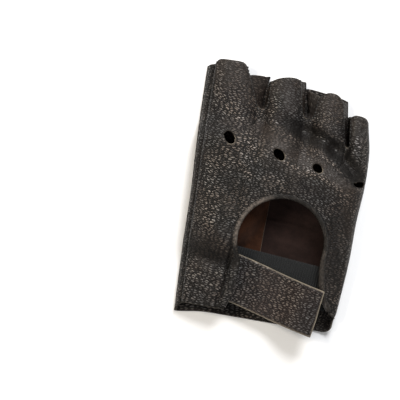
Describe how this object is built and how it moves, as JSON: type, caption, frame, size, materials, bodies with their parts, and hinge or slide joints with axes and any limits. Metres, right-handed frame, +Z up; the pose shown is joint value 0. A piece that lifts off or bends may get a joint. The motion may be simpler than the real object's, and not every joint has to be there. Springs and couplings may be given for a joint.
{
  "type": "fingerless leather glove",
  "caption": "Right-hand fingerless leather glove lying on its palm, with knuckle holes, a bound window over the back of the hand and a wrist tab over a knitted strip.",
  "frame": {"origin": "on the floor, under the middle of the glove's bounding box", "axes": "+Z up, away from the palm; +Y from the wrist hem to the fingertips; +X from the thumb side to the little finger's side"},
  "size_m": [0.1056, 0.156, 0.0279],
  "materials": {
    "back_leather": "black goat leather, rubbed brown, soft sheen over a fine pebble grain",
    "palm_leather": "dark brown leather, slightly duller than the back",
    "strip_leather": "black leather, soft sheen",
    "tab_leather": "black-brown leather with pale raw edges",
    "patch_suede": "rust brown suede",
    "binding_leather": "thin leather strip, rubbed pale along its fold",
    "knitted_elastic": "black ribbed knit, matte"
  },
  "bodies": {
    "root": {"back": "back_leather", "palm": "palm_leather", "palm_patch": "patch_suede", "thumb": "palm_leather", "window_binding": "binding_leather", "fork_index_middle": "strip_leather", "fork_middle_ring": "strip_leather", "fork_ring_little": "strip_leather", "side_strip_heel": "strip_leather", "side_strip_thumb": "strip_leather", "side_strip_knuckle": "strip_leather", "side_strip_index": "strip_leather", "wrist_elastic": "knitted_elastic", "closing_tab": "tab_leather"}
  },
  "joints": []
}
